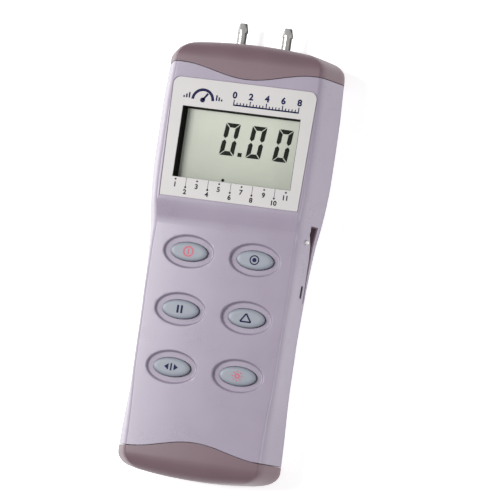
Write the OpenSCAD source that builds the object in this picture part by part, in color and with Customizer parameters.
// Handheld digital manometer with two hose ports.
// It lies on its back: X runs across it, +Y towards the ports, +Z out of the display.
// The origin is on the surface it lies on, under the middle of the whole length.

/* [Case] */
// Length from the foot to the port tips
overall_length = 182; // [170:1:200]
// Width of the head
head_width = 72; // [70:0.5:78]
// Width of the grip where it is narrowest
grip_width = 63.6; // [62:0.2:67]
// Width of the foot
foot_width = 65.6; // [63:0.2:70]
// Height of the display face
head_height = 30; // [29:0.5:34]
// Height of the keypad face at its edges
grip_height = 27.2; // [26.6:0.2:28.6]
// Rise of the keypad face at its middle
face_crown = 0.6; // [0:0.1:1.2]
// Height of the parting line
parting_height = 14; // [13:0.5:15]
// How far the head's flanks lean in at the face
head_lean = 5.8; // [4:0.2:7]
// Wall under the face
front_wall = 2.5; // [2.2:0.1:2.8]
// Wall of the flanks
side_wall = 2.2; // [1.8:0.1:2.4]
// Wall of the back
back_wall = 2.2; // [1.8:0.1:2.4]

/* [End caps] */
// Depth of a cap at the flanks
cap_depth = 10.3; // [9.5:0.1:12]
// How much deeper a cap is at its middle, on the face
cap_dip = 4.3; // [0:0.1:5]
// Distance from the middle to where the dip ends
dip_span = 27; // [20:0.5:30]
// Length of the tongue that goes inside the shells
tongue_length = 2; // [1:0.1:2.2]
// Thickness of the tongue
tongue_wall = 1.4; // [1:0.1:1.8]
// Rounding of a cap's corners, seen from the front
corner_radius = 8; // [5:0.5:9]
// Rounding of the ends from face to back
end_radius = 6; // [4:0.5:7]
// Thickness of the end walls
end_wall = 3; // [2:0.2:4]

/* [Hose ports] */
// How far a port stands out of the cap
port_reach = 10; // [8:0.5:14]
// Distance between the two ports
port_spacing = 18.3; // [16:0.1:22]
// Height of the ports
port_height = 9.5; // [9:0.5:13]
// Diameter of a port's shaft
port_shaft = 3.7; // [3:0.1:3.8]
// Diameter of the barb
barb_width = 4.3; // [4:0.1:5]
// Diameter of the bore
port_bore = 1.8; // [1.2:0.1:2]

/* [Display] */
// Width of the window
window_width = 47.5; // [44:0.5:49]
// Height of the window
window_length = 28.1; // [26:0.1:30]
// Middle of the window, from the middle of the case
window_y = 44.4; // [43:0.1:46]
// Depth of the display's surface below the face
display_depth = 5; // [4.5:0.1:5.4]
// Length of the face plate
plate_length = 46.9; // [46:0.1:49]
// Width of the face plate at its top
plate_width = 57.8; // [55:0.2:59]
// Width of the face plate at its bottom
plate_foot_width = 55.4; // [53:0.2:58]
// Thickness of the face plate
plate_thickness = 0.5; // [0.4:0.05:0.7]
// Height of a digit
digit_length = 12.8; // [9:0.1:14]
// Width of a digit
digit_width = 5.8; // [4:0.1:7]
// Distance from one digit to the next
digit_pitch = 10.7; // [8:0.1:11]

/* [Keys] */
// Width of a key
key_width = 14.8; // [12:0.1:16]
// Height of a key
key_length = 7.3; // [6:0.1:8.5]
// Width of the oval well round a key
well_width = 20.2; // [18:0.1:21]
// Height of the oval well
well_length = 12.7; // [10.5:0.1:13]
// Depth of a well
well_depth = 1.5; // [1:0.1:1.7]
// Distance between the two columns of keys
key_column = 26.6; // [24:0.1:28]
// Distance from one row of keys to the next
key_row = 22.75; // [20:0.25:23]
// Middle of the keypad, from the middle of the case
keypad_y = -20.7; // [-22:0.1:-19]
// Travel of a key
key_travel = 0.8; // [0.5:0.1:1]

/* [Socket bay] */
// Length of the bay in the right flank
bay_length = 30; // [28:0.5:33]
// Height of the bay at its deep end
bay_height = 6.5; // [6.4:0.1:6.8]
// Deep end of the bay, from the middle of the case
bay_y = 18.6; // [17:0.1:19]
// Diameter of the plug that the socket takes
socket_bore = 2.5; // [2:0.1:2.8]
// Depth of the socket's bore
socket_depth = 12; // [8:0.5:13]

/* [Battery] */
// Length of the nine volt block
battery_length = 48.5; // [46:0.5:48.5]
// Width of the block
battery_width = 26.5; // [25:0.1:26.5]
// Thickness of the block
battery_thickness = 17.5; // [16:0.1:17.5]
// Width of the battery door
door_width = 50; // [48:0.5:51]
// Length of the battery door
door_length = 27; // [26.8:0.1:27.4]
// Thickness of the door
door_thickness = 2; // [1.6:0.1:2.1]

/* [Fasteners] */
// Diameter of a case screw
case_screw = 3; // [2.5:0.1:3.2]
// Diameter of a board screw
board_screw = 2.2; // [1.8:0.1:2.4]

/* [Hidden] */
$fn = 48;

// Clearances shared by what fits together
slip = 0.15;
seat_gap = 0.3;
screw_play = 0.05;
overrun = 1;

// The case runs from -case_half to case_half along its own middle
case_length = overall_length - port_reach;
case_half = case_length / 2;
case_shift = -port_reach / 2;
seam_y = case_half - cap_depth;
end_depth = 8;
dip_start = 0.4;
end_bow = 2.1;
face_round = 1.3;
face_round_drop = 4;
back_round = 6.5;
back_lean = 2.8;

// The case's outline from foot to head, in shares chosen by hand:
// [place along half the case, share towards the head's width, share towards the foot's width,
//  share of the step up to the head's face, share of the head's flank lean]
outline_shares = [
    [-0.884, 0, 1, 0, 0.91],
    [-0.767, 0, 0.75, 0, 0.85],
    [-0.663, 0, 0.35, 0, 0.72],
    [-0.523, 0, 0, 0, 0.55],
    [-0.326, 0, 0, 0, 0.52],
    [-0.163, 0.083, 0, 0, 0.54],
    [-0.047, 0.167, 0, 0, 0.6],
    [0.058, 0.298, 0, 0, 0.7],
    [0.128, 0.42, 0, 0, 0.82],
    [0.163, 0.515, 0, 0.12, 0.86],
    [0.198, 0.62, 0, 0.5, 0.9],
    [0.233, 0.714, 0, 0.88, 0.92],
    [0.258, 0.77, 0, 1, 0.94],
    [0.326, 0.893, 0, 1, 0.97],
    [0.419, 0.985, 0, 1, 1],
    [0.558, 1, 0, 1, 1],
    [0.698, 0.99, 0, 1, 1],
    [0.837, 0.89, 0, 1, 1]];
head_end_share = 0.84;
foot_lean_share = 0.91;
// Places along an end's rounding, from its tip to where it meets the straight outline
end_shares = [0, 0.06, 0.2, 0.42, 0.7, 1];
last = len(end_shares) - 1;

// Rings of the case: [y, half width, face height, back height, flank lean, crown, bow]
function fullness(share) = 1 - sqrt(1 - (1 - share) * (1 - share));
function end_ring(share, side, head, foot, rise, lean) =
    let (k = fullness(share))
    [side * (case_half - end_depth * share),
     half_width(head, foot) - corner_radius * k,
     face_height(rise) - end_radius * k,
     end_radius * k,
     head_lean * lean,
     face_crown * (1 - rise),
     side * end_bow * (1 - share)];
function half_width(head, foot) =
    (grip_width + (head_width - grip_width) * head + (foot_width - grip_width) * foot) / 2;
function face_height(rise) = grip_height + (head_height - grip_height) * rise;
foot_rings = [for (i = [0 : last]) end_ring(end_shares[i], -1, 0, 1, 0, foot_lean_share)];
head_rings = [for (i = [last : -1 : 0]) end_ring(end_shares[i], 1, head_end_share, 0, 1, 1)];
body_rings = [for (s = outline_shares)
    [s[0] * case_half, half_width(s[1], s[2]), face_height(s[3]), 0, head_lean * s[4],
     face_crown * (1 - s[3]), 0]];
rings = concat(foot_rings, body_rings, head_rings);

// One quarter of a rounding between two points, bent towards a corner
function bend(a, corner, b, t) = a * (1 - t) * (1 - t) + corner * 2 * t * (1 - t) + b * t * t;
back_shares = [0.35, 0.65];
edge_shares = [0.3, 0.55, 0.8];
// Right half of a ring, from the back to the face; skin is how far it lies inside the case
function half_section(r, skin) =
    let (
        a = r[1] - skin[0],
        top = r[2] - skin[1],
        low = r[3] + skin[2],
        lean = r[4] * (top - parting_height) / (r[2] - parting_height),
        radius = back_round - skin[2],
        drop = face_round_drop - skin[1] / 2,
        shoulder = [a - lean, top],
        flank = [a - lean * (1 - drop / (top - parting_height)), top - drop],
        face = shoulder - [face_round, 0],
        base = [a - radius, low],
        heel = [a - back_lean, low],
        side = [a - back_lean / 2, low + radius])
    concat([base], [for (t = back_shares) bend(base, heel, side, t)], [side, [a, parting_height], flank],
        [for (t = edge_shares) bend(flank, shoulder, face, t)], [face, [face[0] / 2, top + r[5] * 3 / 4]]);
// Points of a ring: the whole of it, or only what lies in front of or behind the parting line;
// a half reaches past the parting line by extra
function ring_points(r, skin, part, extra) =
    let (
        half = half_section(r, skin),
        split = 4,
        low = [0, r[3] + skin[2]],
        high = [0, r[2] - skin[1] + r[5]],
        edge = [half[split][0], parting_height - part * extra],
        front = concat(extra > 0 ? [edge] : [], [for (i = [split : len(half) - 1]) half[i]]),
        rear = concat([for (i = [0 : split]) half[i]], extra > 0 ? [edge] : []),
        loop = part > 0 ? concat(front, [high], mirrored(front)) :
            part < 0 ? concat([low], rear, mirrored(rear)) :
            concat([low], half, [high], mirrored(half)),
        wide = r[1] - skin[0])
    [for (p = loop) [p[0], r[0] - r[6] * p[0] * p[0] / (wide * wide), p[1]]];
function mirrored(points) = [for (i = [len(points) - 1 : -1 : 0]) [-points[i][0], points[i][1]]];
function ring_middle(points) =
    let (
        z = [for (p = points) p[2]],
        nearest = min([for (p = points) abs(p[0])]),
        y = [for (p = points) if (abs(p[0]) == nearest) p[1]])
    [0, y[0], (min(z) + max(z)) / 2];

// A solid lofted through the rings from number first to number final, skin inside the case
module case_loft(skin, first, final, part = 0, extra = 0) {
    sections = [for (i = [first : final]) ring_points(rings[i], skin, part, extra)];
    n = len(sections[0]);
    m = len(sections);
    points = concat([for (s = sections) each s], [ring_middle(sections[0]), ring_middle(sections[m - 1])]);
    sides = [for (i = [0 : m - 2], j = [0 : n - 1])
        let (a = i * n + j, b = i * n + (j + 1) % n)
        each [[a, b, a + n], [b, b + n, a + n]]];
    foot_end = [for (j = [0 : n - 1]) [m * n, (j + 1) % n, j]];
    head_end = [for (j = [0 : n - 1]) [m * n + 1, (m - 1) * n + j, (m - 1) * n + (j + 1) % n]];
    polyhedron(points, concat(sides, foot_end, head_end));
}
whole = len(rings) - 1;
no_skin = [0, 0, 0];
inner_skin = [side_wall, front_wall, back_wall];
boss_skin = [slip, slip, slip];
tongue_skin = inner_skin + [slip, slip, slip];
tongue_bore = tongue_skin + [tongue_wall, tongue_wall, tongue_wall];

// Outline of what lies beyond a cap's seam, drawn in the XY plane; back shifts it inwards
function dip_depth(x) = abs(x) < dip_span ? cap_dip * (1 + cos(180 * x / dip_span)) / 2 : 0;
module seam_outline(dipped, back) {
    reach = head_width;
    steps = 24;
    curve = dipped ? [for (i = [-steps : steps])
        let (x = dip_span * i / steps) [x, seam_y - back - dip_depth(x)]] : [];
    polygon(concat([[-reach, seam_y - back]], curve, [[reach, seam_y - back], [reach, overall_length],
        [-reach, overall_length]]));
}
// Everything beyond a seam: it dips on the face side and runs straight on the back
module beyond_seam(back) {
    step = parting_height + dip_start;
    translate([0, 0, step])
        linear_extrude(head_height)
            seam_outline(true, back);
    translate([0, 0, -overrun])
        linear_extrude(step + overrun)
            seam_outline(false, back);
}
module placed() {
    translate([0, case_shift, 0])
        children();
}

// Bars and rods
module block(x, y, z) {
    translate([x[0], y[0], z[0]])
        cube([x[1] - x[0], y[1] - y[0], z[1] - z[0]]);
}
module rod_y(x, z, from, to, radius) {
    translate([x, from, z])
        rotate([-90, 0, 0])
            cylinder(r = radius, h = to - from);
}
module rod_x(y, z, from, to, radius) {
    translate([from, y, z])
        rotate([0, 90, 0])
            cylinder(r = radius, h = to - from);
}
module rod_z(x, y, from, to, radius) {
    translate([x, y, from])
        cylinder(r = radius, h = to - from);
}
module oval(width, length, from, to) {
    translate([0, 0, from])
        linear_extrude(to - from)
            scale([width / 2, length / 2])
                circle(r = 1);
}

// Heights of the stack behind the face
face_under = head_height - front_wall;
grip_under = grip_height - front_wall;
lcd_top = head_height - display_depth;
board_top = 19.6;
board_thickness = 1.6;
board_under = board_top - board_thickness;
board_screw_head_height = 1.2;
chip_thickness = 1.8;

// Shells
shell_boss = 3.5;
grip_boss = 3.2;
head_boss_x = 26;
head_boss_y = 68;
grip_boss_x = 25.5;
grip_boss_y = -32;
boss_places = [for (side = [-1, 1])
    each [[side * head_boss_x, head_boss_y, shell_boss, face_under],
        [side * grip_boss_x, grip_boss_y, grip_boss, grip_under]]];
boss_floor = 4;
screw_head = 2.8;
screw_head_height = 2;
screw_reach = 22;
post_radius = 2.5;
post_x = 24.5;
post_y = 23.8;
post_places = concat([for (end = [-1, 1]) [0, keypad_y + end * key_row / 2, grip_under]],
    [for (side = [-1, 1]) [side * post_x, post_y, face_under]]);
post_pilot = 3.6;
rib_thickness = 1.2;

// Plate, lens and gasket
plate_foot_margin = 7.65;
plate_y = window_y - window_length / 2 - plate_foot_margin;
plate_corner = 3;
plate_play = 0.1;
lens_margin = 1.95;
lens_thickness = 1;
lens_low = head_height - plate_thickness - lens_thickness;
gasket_wall = 0.7;
gasket_flange = 2.25;
gasket_lip = 1.1;
gasket_lip_end = 0.35;
gasket_foot = 0.6;

// Display
glass_margin = 1.25;
glass_end_margin = 1.55;
glass_thickness = 1.8;
frame_margin = 3.75;
frame_play = 0.15;
strip_width = 2.2;
strip_length = 46;
light_width = 44;
light_length = 25;
segment_thickness = 0.1;
digit_slant = 5.4;
digit_stroke = 1.7;
digit_gap = 0.25;
digits_x = -7.7;
digits_y = 41.5;
point_size = 1.6;
marker_size = 1.2;
marker_x = -4.6;
marker_y = 31.6;

// Keys
key_crown_share = 0.7;
key_face = grip_height + face_crown * key_crown_share;
key_rise = 0.3;
key_play = 0.25;
key_edge = 0.45;
well_floor = key_face - well_depth;
flange_top = grip_under - slip;
flange_thickness = 0.8;
flange_margin = 0.9;
stem_radius = 1.8;
dome_height = 0.5;
dome_radius = 2;
stem_low = board_top + dome_height + key_travel + slip;
mat_thickness = 1.2;
mat_hole = 2.3;
mat_ring = 0.9;
mat_half = 21.4;
mat_head_y = 7.5;

// Socket bay
bay_floor_x = 28;
bay_wall = 1.4;
bay_lip = 2;
bay_foot_lip = 0.6;
bay_shoulder = 4.6;
bay_neck = [6.6, 2.2];
bay_run = [12, 1.2];
bay_tail = 0.6;
socket_y = 16;
socket_z = 18.25;
socket_radius = 1.95;
socket_nose = 0.6;
socket_body = [12, 4.6, 4.4];
trimmer_y = 12;
trimmer_size = [7, 3, 3.2];
trimmer_z = board_top + trimmer_size[2] / 2;
rotor_stand = 0.5;
rotor_slot = 0.4;
trimmer_x = 18;
rotor_radius = 1.2;
rotor_length = 1.4;
spindle_radius = 0.75;
spindle_inset = 4.6;
spindle_x = head_width / 2 - spindle_inset;
access_radius = 0.95;
slot_y = -7.3;
slot_z = 17.8;
slot_length = 5.2;
slot_width = 1.7;
slot_half = (slot_length - slot_width) / 2;

// Battery and door
door_set = 0.7;
door_foot_y = tongue_length + door_set - seam_y;
door_head_y = door_foot_y + door_length;
battery_y = (door_foot_y + door_head_y) / 2;
battery_low = 3.3;
battery_x = -1.8;
battery_round = 2.5;
battery_end_x = battery_x + battery_length / 2;
clip_thickness = 3.4;
pad_size = [36, 16];
door_tab = [4, 1.8, 0.65];
door_tab_x = 14;
door_rail = 1.2;
rib_y = door_head_y + door_tab[1] + seat_gap;
door_groove = 0.5;

// Board
board_half = 21.9;
board_head_half = 27.8;
board_step_y = 20;
board_head_y = 63.3;
board_foot_y = battery_y + battery_width / 2 + seat_gap;
notch_play = 0.2;
notch_half = socket_body[1] / 2 + notch_play;

// Ports
wall_y = case_half - end_wall;
cap_room_half = 21;
cap_room_low = 4.5;
cap_room_high = 24.5;
tip_y = case_half + port_reach;
tip_radius = 1.45;
barb_back = 3.7;
shoulder = 0.15;
collar_radius = 3.1;
collar_thickness = 1.2;
spigot_radius = 1.35;
spigot_end_y = 75.5;
clamp_size = [41, 9, 1.6];
clamp_screw_x = 17.5;
clamp_screw = 1;
clamp_screw_head = 1.8;
clamp_screw_bite = 1.6;

// Sensor and hoses
sensor_size = [16, 12, 6];
sensor_y = 42;
sensor_port_x = 4;
sensor_port_z = 13.5;
sensor_spigot = 6;
hose_radius = 2.3;
hose_grip = 4;
hose_sides = 10;
hose_steps = 14;

// Half of the case between the two seams, as a wall round its inside
module half_shell(part) {
    difference() {
        case_loft(no_skin, 0, whole, part);
        case_loft(inner_skin, 1, whole - 1, part, overrun);
        beyond_seam(0);
        mirror([0, 1, 0])
            beyond_seam(0);
    }
}
module plate_outline(play) {
    foot = plate_foot_width / 2 + play;
    top = plate_width / 2 + play;
    low = plate_y - play;
    high = plate_y + plate_length + play;
    difference() {
        polygon([[-foot, low], [foot, low], [top, high], [-top, high]]);
        for (side = [-1, 1])
            translate([side * (top - plate_corner), high - plate_corner])
                difference() {
                    translate([side > 0 ? 0 : -plate_corner - overrun, 0])
                        square(plate_corner + overrun);
                    circle(r = plate_corner);
                }
    }
}
module window_box(margin_x, margin_y, from, to) {
    half_x = window_width / 2 + margin_x;
    half_y = window_length / 2 + margin_y;
    block([-half_x, half_x], [window_y - half_y, window_y + half_y], [from, to]);
}
key_rows = [keypad_y + key_row, keypad_y, keypad_y - key_row];
key_columns = [-key_column / 2, key_column / 2];
module at_keys() {
    for (x = key_columns, y = key_rows)
        translate([x, y, 0])
            children();
}
// Wedge shaped recess in the right flank, and the room round it inside the shell
module bay_cut(grow, from) {
    low = parting_height + bay_lip;
    foot = bay_y - bay_length - grow;
    foot_low = parting_height + bay_foot_lip;
    run_low = low + (foot_low - low) * bay_run[0] / bay_length;
    translate([from, 0, 0])
        rotate([90, 0, 90])
            linear_extrude(head_width)
                polygon([[bay_y + grow, low - grow], [bay_y + grow, parting_height + bay_height + grow],
                    [bay_y - bay_shoulder, parting_height + bay_height + grow],
                    [bay_y - bay_neck[0], low + bay_neck[1] + grow],
                    [bay_y - bay_run[0], run_low + bay_run[1] + grow],
                    [foot, foot_low + bay_tail + grow], [foot, foot_low - grow]]);
}
bay_first = 10;
bay_final = 20;

module front_shell() {
    color([0.72, 0.68, 0.74])
        placed()
            difference() {
                union() {
                    half_shell(1);
                    intersection() {
                        case_loft(no_skin, bay_first, bay_final, 1);
                        bay_cut(bay_wall, bay_floor_x - bay_wall);
                    }
                    for (p = boss_places)
                        rod_z(p[0], p[1], parting_height, p[3] + overrun, p[2]);
                    for (p = post_places)
                        rod_z(p[0], p[1], board_top, p[2] + overrun, post_radius);
                }
                for (p = boss_places)
                    rod_z(p[0], p[1], parting_height - overrun, screw_reach + overrun,
                        case_screw / 2 + screw_play);
                for (p = post_places)
                    rod_z(p[0], p[1], board_top - overrun, board_top + post_pilot + seat_gap,
                        board_screw / 2 + screw_play);
                translate([0, 0, head_height - plate_thickness])
                    linear_extrude(plate_thickness + overrun)
                        plate_outline(plate_play);
                window_box(lens_margin + plate_play, lens_margin + plate_play, lens_low, head_height);
                window_box(gasket_wall + plate_play, gasket_wall + plate_play, parting_height, head_height);
                at_keys() {
                    oval(well_width, well_length, well_floor, head_height);
                    oval(key_width + 2 * key_play, key_length + 2 * key_play, parting_height, head_height);
                }
                bay_cut(0, bay_floor_x);
                rod_x(socket_y, socket_z, bay_floor_x - bay_wall - overrun, head_width / 2,
                    socket_radius + screw_play);
                rod_x(trimmer_y, trimmer_z, bay_floor_x - bay_wall, head_width / 2, access_radius);
                for (end = [-1, 1])
                    rod_x(slot_y + end * slot_half, slot_z, bay_floor_x, head_width / 2, slot_width / 2);
                block([bay_floor_x, head_width / 2], [slot_y - slot_half, slot_y + slot_half],
                    [slot_z - slot_width / 2, slot_z + slot_width / 2]);
            }
}
module rear_shell() {
    color([0.7, 0.66, 0.72])
        placed()
            difference() {
                union() {
                    half_shell(-1);
                    intersection() {
                        case_loft(boss_skin, 1, whole - 1, -1);
                        for (p = boss_places)
                            rod_z(p[0], p[1], back_wall / 2, parting_height, p[2]);
                    }
                    block([-board_half, board_half], [rib_y, rib_y + rib_thickness],
                        [back_wall / 2, parting_height]);
                }
                for (p = boss_places) {
                    rod_z(p[0], p[1], -overrun, parting_height + overrun, case_screw / 2 + screw_play);
                    rod_z(p[0], p[1], -overrun, boss_floor, screw_head + slip);
                }
                block([-door_width / 2 - slip, door_width / 2 + slip],
                    [door_foot_y - slip, door_head_y + slip], [-overrun, back_wall + overrun]);
            }
}
// Turns what is drawn at the head's end to the end given by side
module at_end(side) {
    mirror([0, side > 0 ? 0 : 1, 0])
        children();
}
// A cap: one end of the case, hollowed, with a tongue that fits inside the shells
module end_cap(side) {
    reach = 8;
    first = side > 0 ? whole - reach : 0;
    final = side > 0 ? whole : reach;
    tongue_first = side > 0 ? whole - reach : 2;
    tongue_final = side > 0 ? whole - 2 : reach;
    difference() {
        intersection() {
            case_loft(no_skin, first, final);
            at_end(side)
                beyond_seam(0);
        }
        at_end(side)
            block([-cap_room_half, cap_room_half], [0, wall_y], [cap_room_low, cap_room_high]);
    }
    intersection() {
        difference() {
            case_loft(tongue_skin, tongue_first, tongue_final);
            case_loft(tongue_bore, tongue_first, tongue_final);
        }
        at_end(side)
            difference() {
                beyond_seam(tongue_length);
                beyond_seam(-overrun);
            }
    }
}
module top_cap() {
    color([0.52, 0.44, 0.48])
        placed()
            difference() {
                end_cap(1);
                for (side = [-1, 1]) {
                    rod_y(side * port_spacing / 2, port_height, wall_y - overrun, case_half + overrun,
                        port_shaft / 2 - shoulder + screw_play);
                    rod_y(side * clamp_screw_x, port_height, wall_y - overrun, wall_y + clamp_screw_bite,
                        clamp_screw + screw_play);
                }
            }
}
module bottom_cap() {
    color([0.5, 0.42, 0.46])
        placed()
            end_cap(-1);
}

module face_plate() {
    color([0.86, 0.86, 0.85])
        placed()
            difference() {
                translate([0, 0, head_height - plate_thickness])
                    linear_extrude(plate_thickness)
                        plate_outline(0);
                window_box(0, 0, parting_height, head_height + overrun);
            }
}
module window_lens() {
    color([0.85, 0.9, 0.88, 0.4])
        placed()
            window_box(lens_margin, lens_margin, lens_low, lens_low + lens_thickness);
}
module display_gasket() {
    color([0.08, 0.08, 0.09])
        placed()
            difference() {
                union() {
                    window_box(gasket_flange, gasket_flange, lcd_top, face_under);
                    window_box(gasket_wall, gasket_wall, face_under - overrun, lens_low);
                }
                window_box(0, 0, lcd_top + gasket_foot, head_height);
                window_box(-gasket_lip, -gasket_lip_end, lcd_top - overrun, head_height);
            }
}
module display_frame() {
    color([0.85, 0.85, 0.82])
        placed()
            difference() {
                window_box(frame_margin, frame_margin, board_top, lcd_top);
                window_box(glass_margin + frame_play, glass_end_margin + frame_play,
                    board_top - overrun, lcd_top + overrun);
            }
}
module lcd_glass() {
    color([0.72, 0.76, 0.68])
        placed()
            window_box(glass_margin, glass_end_margin, lcd_top - glass_thickness, lcd_top);
}
module backlight_panel() {
    color([0.9, 0.92, 0.85])
        placed()
            translate([0, window_y, 0])
                block([-light_width / 2, light_width / 2], [-light_length / 2, light_length / 2],
                    [board_top, lcd_top - glass_thickness]);
}
module zebra_strips() {
    color([0.9, 0.45, 0.55])
        placed()
            for (side = [-1, 1])
                translate([0, window_y + side * (light_length / 2 + seat_gap + strip_width / 2), 0])
                    block([-strip_length / 2, strip_length / 2], [-strip_width / 2, strip_width / 2],
                        [board_top, lcd_top - glass_thickness]);
}
// Segments of a figure nought, each a bar with mitred ends, leaning to the right;
// across and up flip a bar to the other side or the other half of the figure
module bar(points, across, up) {
    flipped = [for (p = points) [across ? digit_width - p[0] : p[0], up ? digit_length - p[1] : p[1]]];
    polygon([for (p = flipped) [p[0] + p[1] * tan(digit_slant), p[1]]]);
}
module nought() {
    t = digit_stroke;
    g = digit_gap;
    middle = digit_length / 2;
    for (up = [false, true]) {
        bar([[g, 0], [digit_width - g, 0], [digit_width - t - g, t], [t + g, t]], false, up);
        for (across = [false, true])
            bar([[0, g], [t, t + g], [t, middle - g - t / 2], [t / 2, middle - g], [0, middle - g - t / 2]],
                across, up);
    }
}
module lcd_segments() {
    color([0.1, 0.12, 0.1])
        placed()
            translate([digits_x, digits_y, lcd_top])
                linear_extrude(segment_thickness) {
                    for (i = [0 : 2])
                        translate([i * digit_pitch, 0])
                            nought();
                    translate([digit_pitch - (digit_pitch - digit_width) / 2 - point_size / 2, 0])
                        square(point_size);
                    translate([marker_x - digits_x, marker_y - digits_y])
                        circle(d = marker_size);
                }
}

module main_board() {
    color([0.12, 0.4, 0.25])
        placed()
            difference() {
                union() {
                    block([-board_half, board_half], [board_foot_y, board_step_y],
                        [board_under, board_top]);
                    block([-board_head_half, board_head_half], [board_step_y, board_head_y],
                        [board_under, board_top]);
                }
                for (p = post_places)
                    rod_z(p[0], p[1], board_under - overrun, board_top + overrun, board_screw / 2 + slip);
                block([bay_floor_x - bay_wall - socket_body[0] - notch_play, head_width],
                    [socket_y - notch_half, socket_y + notch_half],
                    [board_under - overrun, board_top + overrun]);
            }
}
module board_screws() {
    color([0.75, 0.75, 0.78])
        placed()
            for (p = post_places) {
                rod_z(p[0], p[1], board_under, board_top + post_pilot, board_screw / 2);
                difference() {
                    rod_z(p[0], p[1], board_under - board_screw_head_height, board_under, board_screw);
                    cross_slot(p, board_under - board_screw_head_height, board_screw);
                }
            }
}
// Cross shaped recess in a screw head whose free face is at height z
module cross_slot(p, z, width) {
    depth = width / 4;
    arm = width / 5;
    for (turn = [0, 90])
        translate([p[0], p[1], z])
            rotate([0, 0, turn])
                block([-width * 3 / 5, width * 3 / 5], [-arm / 2, arm / 2], [-overrun, depth]);
}
// Chips under the board: x and width in shares of board_half, y and length in shares of case_half
chip_shares = [[-0.5, 0.093, 0.457, 0.14], [0.425, -0.14, 0.548, 0.093], [-0.411, -0.29, 0.365, 0.116],
    [-0.64, 0.372, 0.457, 0.116]];
module chip_set() {
    color([0.13, 0.13, 0.14])
        placed()
            for (c = chip_shares)
                block([(c[0] - c[2] / 2) * board_half, (c[0] + c[2] / 2) * board_half],
                    [(c[1] - c[3] / 2) * case_half, (c[1] + c[3] / 2) * case_half],
                    [board_under - chip_thickness, board_under]);
}
module trimmer_body() {
    color([0.2, 0.3, 0.55])
        placed()
            difference() {
                translate([trimmer_x, trimmer_y - trimmer_size[1] / 2, board_top])
                    cube(trimmer_size);
                rod_x(trimmer_y, trimmer_z, trimmer_x + trimmer_size[0] - rotor_length,
                    trimmer_x + trimmer_size[0] + overrun, rotor_radius + screw_play);
            }
}
module trimmer_rotor() {
    face_x = trimmer_x + trimmer_size[0] + rotor_stand;
    color([0.95, 0.95, 0.93])
        placed()
            difference() {
                union() {
                    rod_x(trimmer_y, trimmer_z, trimmer_x + trimmer_size[0] - rotor_length + screw_play,
                        face_x, rotor_radius);
                    rod_x(trimmer_y, trimmer_z, face_x - rotor_stand, spindle_x, spindle_radius);
                }
                block([spindle_x - rotor_stand, spindle_x + overrun],
                    [trimmer_y - rotor_radius, trimmer_y + rotor_radius],
                    [trimmer_z - rotor_slot / 2, trimmer_z + rotor_slot / 2]);
            }
}

// A key: an oval cap with a stepped edge, a flange that keeps it in, and a stem
module key(column, row) {
    color([0.7, 0.74, 0.78])
        placed()
            translate([key_columns[column], key_rows[row], 0]) {
                oval(key_width, key_length, flange_top - flange_thickness, key_face + key_rise - key_edge);
                oval(key_width - key_edge, key_length - key_edge, flange_top, key_face + key_rise);
                oval(key_width + 2 * flange_margin, key_length + 2 * flange_margin,
                    flange_top - flange_thickness, flange_top);
                rod_z(0, 0, stem_low, flange_top, stem_radius);
            }
}
module key_power() { key(0, 0); }
module key_record() { key(1, 0); }
module key_hold() { key(0, 1); }
module key_difference() { key(1, 1); }
module key_unit() { key(0, 2); }
module key_light() { key(1, 2); }
module key_mat() {
    ring_top = flange_top - flange_thickness - key_travel - seat_gap;
    color([0.55, 0.56, 0.6])
        placed()
            difference() {
                union() {
                    block([-mat_half, mat_half], [board_foot_y, mat_head_y],
                        [board_top, board_top + mat_thickness]);
                    intersection() {
                        at_keys()
                            rod_z(0, 0, board_top, ring_top, mat_hole + mat_ring);
                        block([-mat_half, mat_half], [board_foot_y, head_width], [0, head_height]);
                    }
                }
                at_keys()
                    rod_z(0, 0, board_top - overrun, ring_top + overrun, mat_hole);
                for (p = post_places)
                    rod_z(p[0], p[1], board_top - overrun, board_top + mat_thickness + overrun,
                        post_radius + seat_gap);
            }
}
module snap_domes() {
    color([0.85, 0.83, 0.7])
        placed()
            at_keys() {
                rod_z(0, 0, board_top, board_top + dome_height / 2, dome_radius);
                rod_z(0, 0, board_top, board_top + dome_height, dome_radius / 2);
            }
}

// A port tube: shaft and barb outside, collar and hose spigot inside, bored through;
// in the end wall it is thinner, so that it stops on its shoulder
module port_tube(side) {
    shaft = port_shaft / 2;
    neck = shaft - shoulder;
    barb = barb_width / 2;
    color([0.8, 0.81, 0.83])
        placed()
            translate([side * port_spacing / 2, 0, port_height])
                rotate([-90, 0, 0])
                    rotate_extrude()
                        polygon([
                            [port_bore / 2, spigot_end_y], [spigot_radius, spigot_end_y],
                            [spigot_radius, wall_y - collar_thickness],
                            [collar_radius, wall_y - collar_thickness], [collar_radius, wall_y],
                            [neck, wall_y], [neck, case_half], [shaft, case_half],
                            [shaft, tip_y - barb_back], [barb, tip_y - barb_back],
                            [barb, tip_y - barb_back * 3 / 4], [tip_radius, tip_y],
                            [port_bore / 2, tip_y]]);
}
module port_tube_left() { port_tube(-1); }
module port_tube_right() { port_tube(1); }
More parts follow.
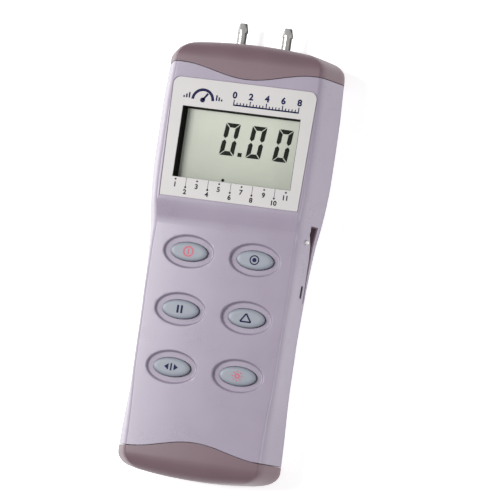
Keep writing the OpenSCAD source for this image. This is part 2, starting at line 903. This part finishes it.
// Plate that holds both collars against the end wall, and its two screws
module port_clamp() {
    high = wall_y - collar_thickness;
    low = high - clamp_size[2];
    color([0.6, 0.6, 0.62])
        placed()
            difference() {
                block([-clamp_size[0] / 2, clamp_size[0] / 2], [low, wall_y],
                    [port_height - clamp_size[1] / 2, port_height + clamp_size[1] / 2]);
                for (side = [-1, 1]) {
                    rod_y(side * port_spacing / 2, port_height, high, wall_y + overrun,
                        collar_radius + slip);
                    rod_y(side * port_spacing / 2, port_height, low - overrun, high + overrun,
                        spigot_radius + slip);
                    rod_y(side * clamp_screw_x, port_height, low - overrun, wall_y + overrun,
                        clamp_screw + slip);
                }
            }
}
module clamp_screws() {
    back = wall_y - collar_thickness - clamp_size[2];
    color([0.75, 0.75, 0.78])
        placed()
            for (side = [-1, 1]) {
                rod_y(side * clamp_screw_x, port_height, back, wall_y + clamp_screw_bite - seat_gap,
                    clamp_screw);
                rod_y(side * clamp_screw_x, port_height, back - clamp_screw, back, clamp_screw_head);
            }
}

module pressure_sensor() {
    low = board_under - sensor_size[2];
    front_y = sensor_y + sensor_size[1];
    color([0.9, 0.9, 0.87])
        placed() {
            block([-sensor_size[0] / 2, sensor_size[0] / 2], [sensor_y, front_y], [low, board_under]);
            for (side = [-1, 1])
                rod_y(side * sensor_port_x, sensor_port_z, front_y - overrun, front_y + sensor_spigot,
                    spigot_radius);
        }
}
// A hose from a port's spigot to the sensor's, straight where it grips each spigot
function ease(t) = t * t * (3 - 2 * t);
function ring_round(x, y, z) = [for (k = [0 : hose_sides - 1])
    [x + hose_radius * cos(360 * k / hose_sides), y, z + hose_radius * sin(360 * k / hose_sides)]];
module hose(side) {
    from_y = spigot_end_y + hose_grip;
    to_y = sensor_y + sensor_size[1] + seat_gap;
    x0 = side * port_spacing / 2;
    x1 = side * sensor_port_x;
    bend_from = spigot_end_y;
    bend_to = sensor_y + sensor_size[1] + sensor_spigot;
    between = [for (i = [0 : hose_steps]) bend_from + (bend_to - bend_from) * i / hose_steps];
    stations = concat([from_y], between, [to_y]);
    sections = [for (y = stations)
        let (t = ease(min(1, max(0, (bend_from - y) / (bend_from - bend_to)))))
        ring_round(x0 + (x1 - x0) * t, y, port_height + (sensor_port_z - port_height) * t)];
    n = hose_sides;
    m = len(sections);
    sides = [for (i = [0 : m - 2], j = [0 : n - 1])
        let (a = i * n + j, b = i * n + (j + 1) % n)
        each [[a, a + n, b], [b, a + n, b + n]]];
    color([0.75, 0.75, 0.72])
        placed()
            difference() {
                polyhedron([for (s = sections) each s],
                    concat(sides, [[for (j = [0 : n - 1]) j]],
                        [[for (j = [n - 1 : -1 : 0]) (m - 1) * n + j]]));
                rod_y(x0, port_height, bend_from - slip, from_y + overrun, spigot_radius + screw_play);
                rod_y(x1, sensor_port_z, to_y - overrun, bend_to + slip, spigot_radius + screw_play);
            }
}
module sensor_hose_left() { hose(-1); }
module sensor_hose_right() { hose(1); }

module serial_socket() {
    face_x = bay_floor_x - bay_wall;
    color([0.1, 0.1, 0.11])
        placed()
            difference() {
                union() {
                    block([face_x - socket_body[0], face_x],
                        [socket_y - socket_body[1] / 2, socket_y + socket_body[1] / 2],
                        [socket_z - socket_body[2] / 2, socket_z + socket_body[2] / 2]);
                    rod_x(socket_y, socket_z, face_x - overrun, bay_floor_x + socket_nose, socket_radius);
                }
                rod_x(socket_y, socket_z, bay_floor_x + socket_nose - socket_depth, bay_floor_x + overrun,
                    socket_bore / 2);
            }
}

module battery() {
    r = battery_round;
    y = battery_width / 2 - r;
    z = battery_thickness - 2 * r;
    color([0.35, 0.36, 0.4])
        placed()
            translate([battery_x - battery_length / 2, battery_y, battery_low + r])
                rotate([90, 0, 90])
                    linear_extrude(battery_length) {
                        translate([-y, -r])
                            square([2 * y, battery_thickness]);
                        translate([-y - r, 0])
                            square([2 * (y + r), z]);
                        for (side = [-1, 1], up = [0, 1])
                            translate([side * y, up * z])
                                circle(r = r);
                    }
}
module battery_clip() {
    color([0.15, 0.15, 0.16])
        placed()
            translate([battery_end_x, battery_y, battery_low + battery_thickness / 2])
                block([0, clip_thickness],
                    [-battery_width / 2 + battery_round, battery_width / 2 - seat_gap],
                    [-battery_thickness / 2 + battery_round, battery_thickness / 2 - battery_round / 2]);
}
// Two leads from the clip to the underside of the board
lead_radius = 0.7;
lead_gap = 1.9;
lead_sides = 8;
lead_roll = [1, 0.6, 0.2];
lead_x = 25.1;
lead_z = 12;
lead_inset = 5;
lead_run = 7.25;
lead_start = [lead_x, battery_y + battery_width / 2 - seat_gap, lead_z];
lead_span = [-lead_inset, lead_run, board_under - lead_z];
// Route of a lead, in shares of its span along X, Y and Z
lead_shares = [[0, 0, 0], [0, 0.21, 0], [0, 0.43, 0.03], [0.1, 0.655, 0.167], [0.3, 0.82, 0.367],
    [0.58, 0.93, 0.567], [0.84, 0.986, 0.733], [0.98, 1, 0.867], [1, 1, 1]];
lead_route = [for (s = lead_shares)
    lead_start + [lead_span[0] * s[0], lead_span[1] * s[1], lead_span[2] * s[2]]];
lead_ways = [for (i = [0 : len(lead_route) - 1])
    let (d = lead_route[min(i + 1, len(lead_route) - 1)] - lead_route[max(i - 1, 0)])
    i == 0 ? [0, 1, 0] : i == len(lead_route) - 1 ? [0, 0, 1] : d / norm(d)];
module lead(shift) {
    n = lead_sides;
    m = len(lead_route);
    points = [for (i = [0 : m - 1])
        let (
            across = cross(lead_ways[i], lead_roll),
            u = across / norm(across),
            v = cross(lead_ways[i], u))
        each [for (k = [0 : n - 1])
            lead_route[i] + shift + (u * cos(360 * k / n) + v * sin(360 * k / n)) * lead_radius]];
    sides = [for (i = [0 : m - 2], j = [0 : n - 1])
        let (a = i * n + j, b = i * n + (j + 1) % n)
        each [[a, b, a + n], [b, b + n, a + n]]];
    polyhedron(points, concat(sides, [[for (j = [n - 1 : -1 : 0]) j]],
        [[for (j = [0 : n - 1]) (m - 1) * n + j]]));
}
module battery_leads() {
    color([0.7, 0.15, 0.15])
        placed() {
            lead([0, 0, 0]);
            lead([-lead_gap, 0, 0]);
        }
}
module battery_pad() {
    color([0.3, 0.3, 0.32])
        placed()
            translate([battery_x, battery_y, 0])
                block([-pad_size[0] / 2, pad_size[0] / 2], [-pad_size[1] / 2, pad_size[1] / 2],
                    [battery_low + battery_thickness + slip, grip_under - seat_gap]);
}
module battery_door() {
    tab_low = back_wall + slip;
    tab_high = tab_low + door_tab[2];
    color([0.69, 0.65, 0.71])
        placed()
            difference() {
                union() {
                    block([-door_width / 2, door_width / 2], [door_foot_y, door_head_y],
                        [0, door_thickness]);
                    for (side = [-1, 1]) {
                        translate([side * door_tab_x, door_head_y, 0]) {
                            block([-door_tab[0] / 2, door_tab[0] / 2], [-slip * 3, 0],
                                [door_thickness, tab_high]);
                            block([-door_tab[0] / 2, door_tab[0] / 2], [-slip * 3, door_tab[1]],
                                [tab_low, tab_high]);
                        }
                        translate([side * door_tab_x, battery_y, 0])
                            block([-door_rail / 2, door_rail / 2],
                                [-battery_width / 2 + battery_round, battery_width / 2 - battery_round],
                                [door_thickness, battery_low]);
                    }
                }
                for (i = [0 : 3])
                    translate([0, door_foot_y + door_length / 8 + i * door_groove * 4, 0])
                        block([-door_width / 6, door_width / 6], [0, door_groove * 2],
                            [-overrun, door_groove]);
            }
}
module case_screws() {
    color([0.7, 0.7, 0.73])
        placed()
            for (p = boss_places) {
                rod_z(p[0], p[1], boss_floor, screw_reach, case_screw / 2);
                difference() {
                    rod_z(p[0], p[1], boss_floor - screw_head_height, boss_floor, screw_head);
                    cross_slot(p, boss_floor - screw_head_height, screw_head);
                }
            }
}

front_shell();
rear_shell();
top_cap();
bottom_cap();
face_plate();
window_lens();
display_gasket();
display_frame();
lcd_glass();
lcd_segments();
backlight_panel();
zebra_strips();
main_board();
board_screws();
chip_set();
trimmer_body();
trimmer_rotor();
key_power();
key_record();
key_hold();
key_difference();
key_unit();
key_light();
key_mat();
snap_domes();
port_tube_left();
port_tube_right();
port_clamp();
clamp_screws();
sensor_hose_left();
sensor_hose_right();
pressure_sensor();
serial_socket();
battery();
battery_clip();
battery_leads();
battery_pad();
battery_door();
case_screws();
